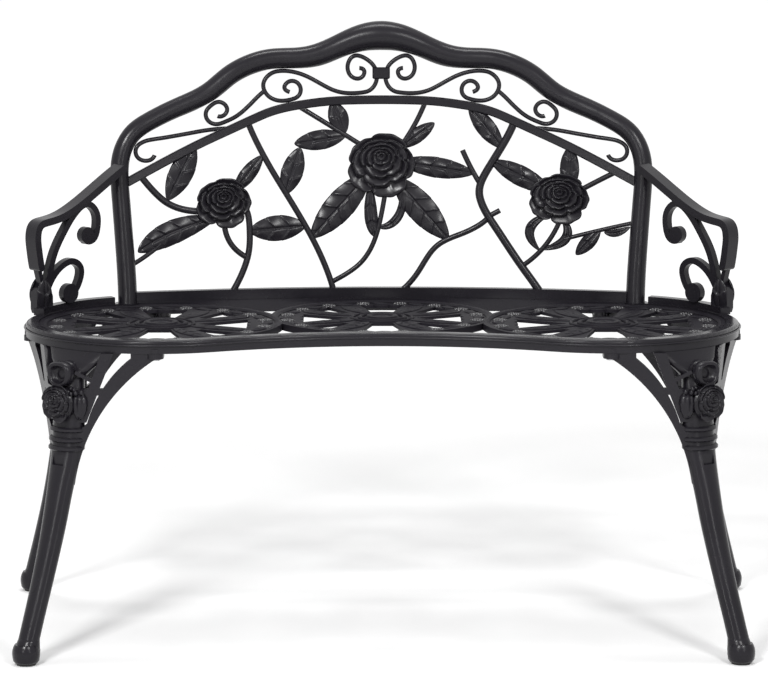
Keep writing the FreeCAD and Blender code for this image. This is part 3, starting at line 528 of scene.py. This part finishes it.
def panel_relief(node):
    """Hub rings, grapes and leaves of one seat panel."""
    middle, span = panel_circle(node)
    centre = middle + Vector((0, 0, PLATE_TOP))
    radius = span / MM

    def on_plate(x, y, up):
        return centre + Vector((x, y, up)) * MM

    def polar(reach, degrees):
        return ray(degrees) * (reach * radius)

    hub, grapes, foliage = bmesh.new(), bmesh.new(), bmesh.new()
    for reach, thick in HUB_RINGS:
        hub_ring(hub, centre, reach * radius, thick)
    bmesh.ops.recalc_face_normals(hub, faces=hub.faces)
    for degrees in SPOKE_ANGLES:
        spoke = [polar(reach, degrees) for reach in SPOKE_SPAN]
        leaf_blade(foliage, on_plate, SPOKE_WIDTH * radius, spoke, SEAT_RELIEF)
    for k in range(CLUSTERS):
        degrees = CLUSTER_STEP * (k + 0.5)
        heart = polar(CLUSTER_REACH, degrees)
        berry(grapes, on_plate(heart.x, heart.y, HEART_BERRY_UP), BERRY_RADIUS)
        for turn in range(0, 360, BERRY_TURN):
            outer = heart + ray(turn) * BERRY_SPREAD
            berry(grapes, on_plate(outer.x, outer.y, OUTER_BERRY_UP), BERRY_RADIUS)
        small_leaf = [polar(reach, degrees + way * CLUSTER_STEP) for reach, way in SMALL_LEAF]
        leaf_blade(foliage, on_plate, SMALL_LEAF_WIDTH, small_leaf, SEAT_RELIEF)
    return hub, grapes, foliage


def seat_panel(side, hub, grapes, foliage):
    """The relief pieces of one seat panel."""
    casting("seat_hub_" + side, hub, finish=SEAT_COAT)
    casting("seat_grapes_" + side, grapes, finish=RUBBED_COAT)
    casting("seat_leaves_" + side, foliage, wall=LEAF_WALL, finish=SEAT_COAT)


def seat_panels():
    """The relief of the three panels; the right one mirrors the left."""
    end_relief = panel_relief("medallion_left")
    seat_panel("right", *[mirror_copy(shape) for shape in end_relief])
    seat_panel("left", *end_relief)
    seat_panel("middle", *panel_relief("medallion_middle"))


# Seat edge: a fine bead that runs round the rim

LEFT_HUB = panel_circle("medallion_left")[0]
RIM_RADIUS = LEFT_HUB.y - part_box("seat_rim")[0].y
RIM_SEAT_GAP = 17.3 * MM
# A stretch of the rim's outline; its side is -1 where the edge is hollow
Arc = namedtuple("Arc", "centre radius first last side")
BEAD_RADIUS = 1.3 * MM
BEAD_DROP = 6.5 * MM
BEAD_SIDES = 8
BEAD_STEPS = 240


def rim_arcs():
    """The four tangent arcs of the rim's outline: front edge, right end, back edge, left end."""
    low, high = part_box("medallion_middle")
    front, back = low.y - RIM_SEAT_GAP, high.y + RIM_SEAT_GAP
    rise, drop = back - LEFT_HUB.y, LEFT_HUB.y - front
    front_arc = (LEFT_HUB.x**2 + drop**2 - RIM_RADIUS**2) / (2 * (RIM_RADIUS - drop))
    back_arc = (LEFT_HUB.x**2 + rise**2 - RIM_RADIUS**2) / (2 * (rise - RIM_RADIUS))
    front_centre, back_centre = Vector((0, front - front_arc, 0)), Vector((0, back - back_arc, 0))
    to_front, to_back = LEFT_HUB - front_centre, LEFT_HUB - back_centre
    front_turn = math.atan2(to_front.y, to_front.x)
    back_turn = math.atan2(to_back.y, to_back.x)
    right_hub = Vector((-LEFT_HUB.x, LEFT_HUB.y, 0))
    return [
        Arc(front_centre, front_arc, front_turn, math.pi - front_turn, -1),
        Arc(right_hub, RIM_RADIUS, -front_turn, math.pi - back_turn, 1),
        Arc(back_centre, back_arc, math.pi - back_turn, back_turn, 1),
        Arc(LEFT_HUB, RIM_RADIUS, back_turn, math.pi + front_turn, 1),
    ]


def rim_point(arcs, share):
    """A point on the rim's outline and the way out from it, at a share of the way round."""
    lengths = [arc.radius * abs(arc.last - arc.first) for arc in arcs]
    left = share * sum(lengths)
    for arc, length in zip(arcs, lengths):
        if left <= length:
            break
        left -= length
    turn = arc.first + (arc.last - arc.first) * min(left / length, 1)
    outward = Vector((math.cos(turn), math.sin(turn), 0))
    return arc.centre + outward * arc.radius, outward * arc.side


def rim_bead():
    """The bead: a thin round bar that closes on itself."""
    arcs = rim_arcs()

    def form(x, y):
        point, outward = rim_point(arcs, ((x + 1) / 2) % 1)
        turn = math.pi * y
        lift = Vector((0, 0, SEAT_TOP - BEAD_DROP + BEAD_RADIUS * math.sin(turn)))
        return point + outward * (BEAD_RADIUS * math.cos(turn)) + lift

    shape = bmesh.new()
    closed_grid(shape, BEAD_STEPS, BEAD_SIDES, form)
    bmesh.ops.recalc_face_normals(shape, faces=shape.faces)
    casting("rim_bead", shape)


# Arms: a cast leaf on both faces of the block where the scrolls spring from the seat

ARM_ANGLE = math.radians(24)
RIM_HALF_WIDTH = 8.5 * MM
POST_RADIUS = 13 * MM
ARM_OUTSET = 5 * MM
BLOCK_AHEAD = 5.5 * MM
BLOCK_HALF_DEEP = 7.0
ARM_LEAF_WIDTH = 26.0
ARM_LEAF = [(0, 2), (0, 46)]


def block_face(facing):
    """Places points on a face of the left arm's block: right, up and out of it."""
    rim_spoke = Vector((-math.cos(ARM_ANGLE), math.sin(ARM_ANGLE), 0))
    base = LEFT_HUB + rim_spoke * (RIM_RADIUS - RIM_HALF_WIDTH)
    post = on_back((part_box("back_frame")[0].x + POST_RADIUS) / MM, 0, 0)
    ahead = Vector((base.x - post.x, base.y - post.y, 0)).normalized()
    side = Vector((-ahead.y, ahead.x, 0))
    block = base + ahead * BLOCK_AHEAD - side * ARM_OUTSET + Vector((0, 0, SEAT_TOP))

    def place(right, up, out):
        flat = ahead * (-facing * right) + side * (facing * (BLOCK_HALF_DEEP + out))
        return block + (flat + Vector((0, 0, up))) * MM

    return place


def arm_leaves():
    """The leaves of both arms."""
    shape = bmesh.new()
    for facing in (1, -1):
        leaf_blade(shape, block_face(facing), ARM_LEAF_WIDTH, ARM_LEAF)
    both_sides("arm_leaf", shape, LEAF_WALL)


# Legs: a small rose, a dished bud, a bell and berries on the knee, and the foot's shoulder

KNEE_REACH = 190.0
KNEE_HEIGHT = 329.0
FLOWER_RADIUS = 26.0
FLOWER_OUT = 24.0
FLOWER_DEPTH = 0.75
FLOWER_WALL = 1.8
FLOWER_SIDES = 90
FLOWER_RINGS = 40
CUP_PROFILE = [(0, 17), (13, 18.5), (18, 21.5), (17, 24.5), (0, 24.5)]
BUD_UP = 37.0
BUD_RADIUS = 20.5
BUD_PROFILE = [
    (0, 4), (17, 7), (20.5, 14), (20.5, 21), (18.5, 25.5),
    (16, 26), (14, 23.5), (12, 18.5), (8, 16.5), (0, 17.5),
]
BUD_SIDES = 40
# The bud's outline is a rounded shield, wider at the top
BUD_SQUARENESS = 2.4
BUD_WAIST = 0.86
BUD_TAPER = 0.16
BUD_HEIGHT = 0.8
# Places on the knee: towards the bench's middle, up and out
BELL_PLACE = (24.0, 0.0, 10.0)
KNEE_BERRIES = [(12, 15, 18), (18, 13, 20), (24, 14, 18), (15, 19, 16), (21, 18, 17), (30, 15, 14)]
KNEE_BERRY_RADIUS = 3.2
KNOB = (-21.0, -34.0, 4.0)
KNOB_RADIUS = 5.0
BELL_PROFILE = [(0, -22), (5, -19), (8.5, -11), (10.5, -1), (9.5, 7), (6, 12), (0, 14)]
BELL_SIDES = 56
BELL_FLUTES = 7
FLUTE_DEPTH = 0.07
FOOT_PROFILE = [
    (0, 3), (14.5, 3), (16.9, 6), (17.8, 12), (17.3, 18),
    (15.6, 24), (14.4, 30), (12.8, 37), (0, 37),
]
LEAN_FROM = 14.0
LEG_LEAN = 0.33
GLIDE_RADIUS = 12 * MM


def foot_ray(glides):
    """Floor point under the left foot on those glides, and the way out to it from the hub."""
    low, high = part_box(glides)
    foot = Vector((low.x + GLIDE_RADIUS, (low.y + high.y) / 2, 0))
    return foot, (foot - LEFT_HUB).normalized()


def knee_place(glides):
    """Places points on that left knee: right, up and out; and 1 where right is inwards, or -1."""
    out = foot_ray(glides)[1]
    right = Vector((-out.y, out.x, 0))
    inner = 1 if right.x > 0 else -1

    def place(across, up, forward):
        along = LEFT_HUB + out * ((KNEE_REACH + forward) * MM) + right * (across * MM)
        return along + Vector((0, 0, (KNEE_HEIGHT + up) * MM))

    return place, inner


def knee_flower(glides):
    """A small rose on the knee."""
    place = knee_place(glides)[0]

    def on_knee(right, up, out):
        return place(right, up, FLOWER_OUT + FLOWER_DEPTH * out)

    shape = bmesh.new()
    bloom(shape, on_knee, FLOWER_RADIUS, FLOWER_RADIUS, FLOWER_SIDES, FLOWER_RINGS)
    return shape


def knee_bud(glides):
    """Cup behind the flower, bud with a raised border above it, and a fluted bell beside it."""
    place, inner = knee_place(glides)
    beside, above, before = BELL_PLACE

    def shield(across, up, forward):
        square = (abs(across) ** BUD_SQUARENESS + abs(up) ** BUD_SQUARENESS) ** (1 / BUD_SQUARENESS)
        swell = math.hypot(across, up) / square if square else 1
        taper = BUD_WAIST + BUD_TAPER * up / BUD_RADIUS
        return place(across * swell * taper, BUD_UP + BUD_HEIGHT * up * swell, forward)

    def fluted(across, back, up):
        flute = 1 + FLUTE_DEPTH * math.cos(BELL_FLUTES * math.atan2(back, across))
        return place(inner * beside + across * flute, above + up, before - back * flute)

    shape = bmesh.new()
    turned(shape, CUP_PROFILE, place)
    turned(shape, BUD_PROFILE, shield, BUD_SIDES)
    turned(shape, BELL_PROFILE, fluted, BELL_SIDES)
    return shape


def knee_berries(glides):
    """Berries over the bell, and a knob on the knee's other side."""
    place, inner = knee_place(glides)
    shape = bmesh.new()
    for across, up, forward in KNEE_BERRIES:
        berry(shape, place(inner * across, up, forward), KNEE_BERRY_RADIUS)
    across, up, forward = KNOB
    berry(shape, place(inner * across, up, forward), KNOB_RADIUS)
    return shape


def foot_flare(glides):
    """A squat foot whose shoulder runs up into the leaning shaft."""
    foot, out = foot_ray(glides)
    right = Vector((-out.y, out.x, 0))

    def leaning(along, across, up):
        lean = LEG_LEAN * max(up - LEAN_FROM, 0)
        return foot + out * ((along - lean) * MM) + right * (across * MM) + Vector((0, 0, up * MM))

    shape = bmesh.new()
    turned(shape, FOOT_PROFILE, leaning)
    return shape


def legs():
    """The cast ornament of the four knees, and the feet below them."""
    for row in ("front", "back"):
        glides = "glides_" + row
        both_sides("knee_flower_" + row, knee_flower(glides), FLOWER_WALL)
        both_sides("knee_bud_" + row, knee_bud(glides))
        both_sides("knee_berries_" + row, knee_berries(glides))
        both_sides("foot_flare_" + row, foot_flare(glides))


# Stage: camera, white floor, white surroundings and soft lamps; places are in metres

CAMERA_PLACE = (-0.040, -5.256, 1.203)
CAMERA_PITCH = math.radians(8.944)
CAMERA_YAW = math.radians(0.458)
CAMERA_LENS = 188.4
CAMERA_SENSOR = 36
CAMERA_FAR = 200
FLOOR_SIZE = 60.0
FLOOR_WHITE = 0.93
FLOOR_ROUGHNESS = 0.9
SKY_LIGHT = 0.4
GLOW_NEAR = 0.12
GLOW_FAR = 1 - FLOOR_WHITE * SKY_LIGHT
GLOW_DISTANCES = (1.2, 4.0)
LAMP_TARGET = Vector((0, 0, 0.5))
# Place, width, height and power in watts
LAMPS = {
    "key_left": ((-1.3, -3.1, 2.8), 0.7, 0.4, 85),
    "fill_right": ((1.4, -3.0, 2.7), 0.6, 0.4, 50),
    "top": ((0, 0.4, 3.4), 1.6, 0.6, 45),
    "strip_left": ((-1.5, -3.0, 1.1), 0.25, 1.0, 10),
    "strip_right": ((1.5, -3.0, 1.1), 0.25, 1.0, 8),
}


def place_camera():
    """The camera stands where the photograph was taken from."""
    data = bpy.data.cameras.new("camera")
    data.lens = CAMERA_LENS
    data.sensor_width = CAMERA_SENSOR
    data.clip_end = CAMERA_FAR
    camera = bpy.data.objects.new("camera", data)
    camera.location = CAMERA_PLACE
    camera.rotation_euler = (math.pi / 2 - CAMERA_PITCH, 0, -CAMERA_YAW)
    scene.collection.objects.link(camera)
    scene.camera = camera


def background_rays(node_tree):
    """1 for rays that show the background: from the camera, in gloss and through glass."""
    tree, link = node_tree.nodes, node_tree.links.new
    path = tree.new("ShaderNodeLightPath")
    seen = path.outputs["Is Camera Ray"]
    for kind in ("Is Glossy Ray", "Is Transmission Ray"):
        either = tree.new("ShaderNodeMath")
        either.operation = "MAXIMUM"
        link(seen, either.inputs[0])
        link(path.outputs[kind], either.inputs[1])
        seen = either.outputs["Value"]
    return seen


def white_floor():
    """White that is lit by the lamps near the bench, where its shadow falls, and glows far off."""
    material = bpy.data.materials.new("white_floor")
    material.use_nodes = True
    tree, link = material.node_tree.nodes, material.node_tree.links.new
    shader = tree["Principled BSDF"]
    shader.inputs["Base Color"].default_value = (FLOOR_WHITE, FLOOR_WHITE, FLOOR_WHITE, 1)
    shader.inputs["Roughness"].default_value = FLOOR_ROUGHNESS
    shader.inputs["Specular IOR Level"].default_value = 0.0
    glow = tree.new("ShaderNodeEmission")
    strength = tree.new("ShaderNodeMath")
    strength.operation = "MULTIPLY"
    place = tree.new("ShaderNodeTexCoord")
    distance = tree.new("ShaderNodeVectorMath")
    distance.operation = "LENGTH"
    link(place.outputs["Object"], distance.inputs[0])
    fade = map_range(tree, GLOW_DISTANCES, (GLOW_NEAR, GLOW_FAR))
    link(distance.outputs["Value"], fade.inputs["Value"])
    link(background_rays(material.node_tree), strength.inputs[0])
    link(fade.outputs["Result"], strength.inputs[1])
    link(strength.outputs["Value"], glow.inputs["Strength"])
    both = tree.new("ShaderNodeAddShader")
    link(shader.outputs["BSDF"], both.inputs[0])
    link(glow.outputs["Emission"], both.inputs[1])
    link(both.outputs["Shader"], tree["Material Output"].inputs["Surface"])
    return material


def lay_floor():
    """A wide level floor."""
    mesh = bpy.data.meshes.new("floor")
    plane = bmesh.new()
    bmesh.ops.create_grid(plane, x_segments=1, y_segments=1, size=FLOOR_SIZE)
    plane.to_mesh(mesh)
    plane.free()
    mesh.materials.append(white_floor())
    floor = bpy.data.objects.new("floor", mesh)
    scene.collection.objects.link(floor)


def light_world():
    """White surroundings that light the bench less than they show."""
    world = bpy.data.worlds.new("studio")
    world.use_nodes = True
    tree, link = world.node_tree.nodes, world.node_tree.links.new
    backdrop = tree["Background"]
    backdrop.inputs["Color"].default_value = (1, 1, 1, 1)
    level = map_range(tree, (0, 1), (SKY_LIGHT, 1))
    link(background_rays(world.node_tree), level.inputs["Value"])
    link(level.outputs["Result"], backdrop.inputs["Strength"])
    scene.world = world


def hang_lamps():
    """Soft boxes that all face the middle of the bench."""
    for name, (place, width, height, power) in LAMPS.items():
        data = bpy.data.lights.new(name, "AREA")
        data.shape = "RECTANGLE"
        data.size = width
        data.size_y = height
        data.energy = power
        lamp = bpy.data.objects.new(name, data)
        lamp.location = place
        aim = LAMP_TARGET - Vector(place)
        lamp.rotation_euler = aim.to_track_quat("-Z", "Y").to_euler()
        scene.collection.objects.link(lamp)


scene.view_settings.view_transform = "Standard"
dress_frame()
leaves()
roses()
seat_panels()
rim_bead()
arm_leaves()
legs()
place_camera()
lay_floor()
light_world()
hang_lamps()
